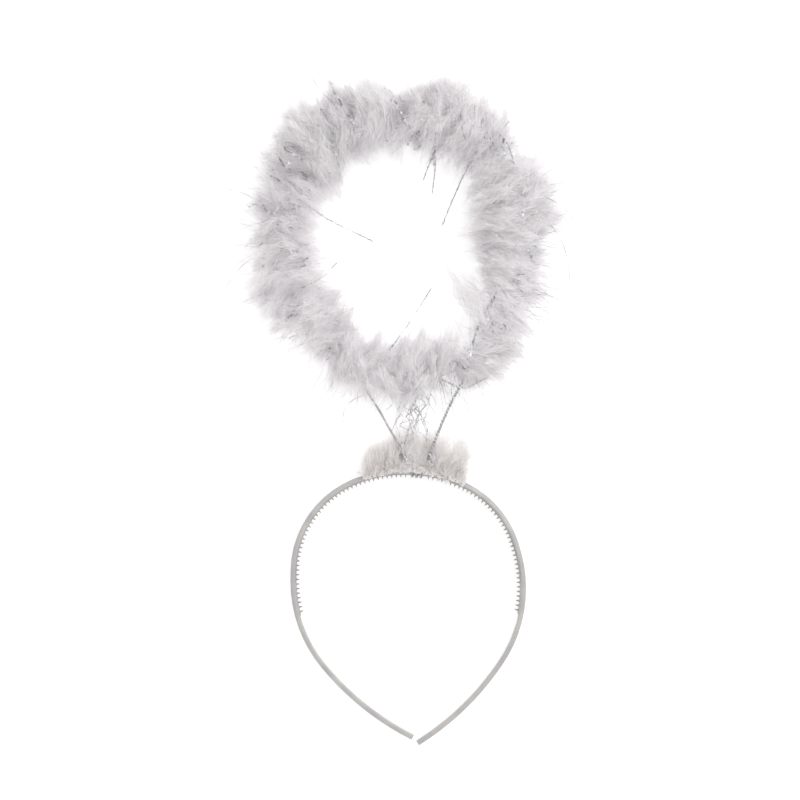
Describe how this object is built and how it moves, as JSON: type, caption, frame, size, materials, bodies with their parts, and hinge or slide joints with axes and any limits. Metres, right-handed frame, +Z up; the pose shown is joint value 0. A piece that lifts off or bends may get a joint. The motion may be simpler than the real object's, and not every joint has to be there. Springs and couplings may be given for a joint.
{
  "type": "halo headband",
  "caption": "Costume halo: a ring of fluffy marabou boa with silver tinsel, held above a comb-toothed plastic headband by a V of wire, lying flat.",
  "frame": {"origin": "middle of the whole object's plan, on the table that it lies on", "axes": "+Y from the headband's tips towards the halo, +Z up from the table, +X to the right"},
  "size_m": [0.1662, 0.3518, 0.038],
  "materials": {
    "plastic": "white injection-moulded plastic, slightly see-through, satin",
    "wire": "plain grey craft wire",
    "marabou": "white marabou down, fluffy",
    "tuft_marabou": "off-white marabou down, wound tight at its root",
    "tinsel": "silver metallised film strands, bright"
  },
  "bodies": {
    "root": {"headband": "plastic", "ring_wire": "wire", "stem_wire": "wire", "halo_boa": "marabou", "base_tuft": "tuft_marabou"}
  },
  "joints": []
}
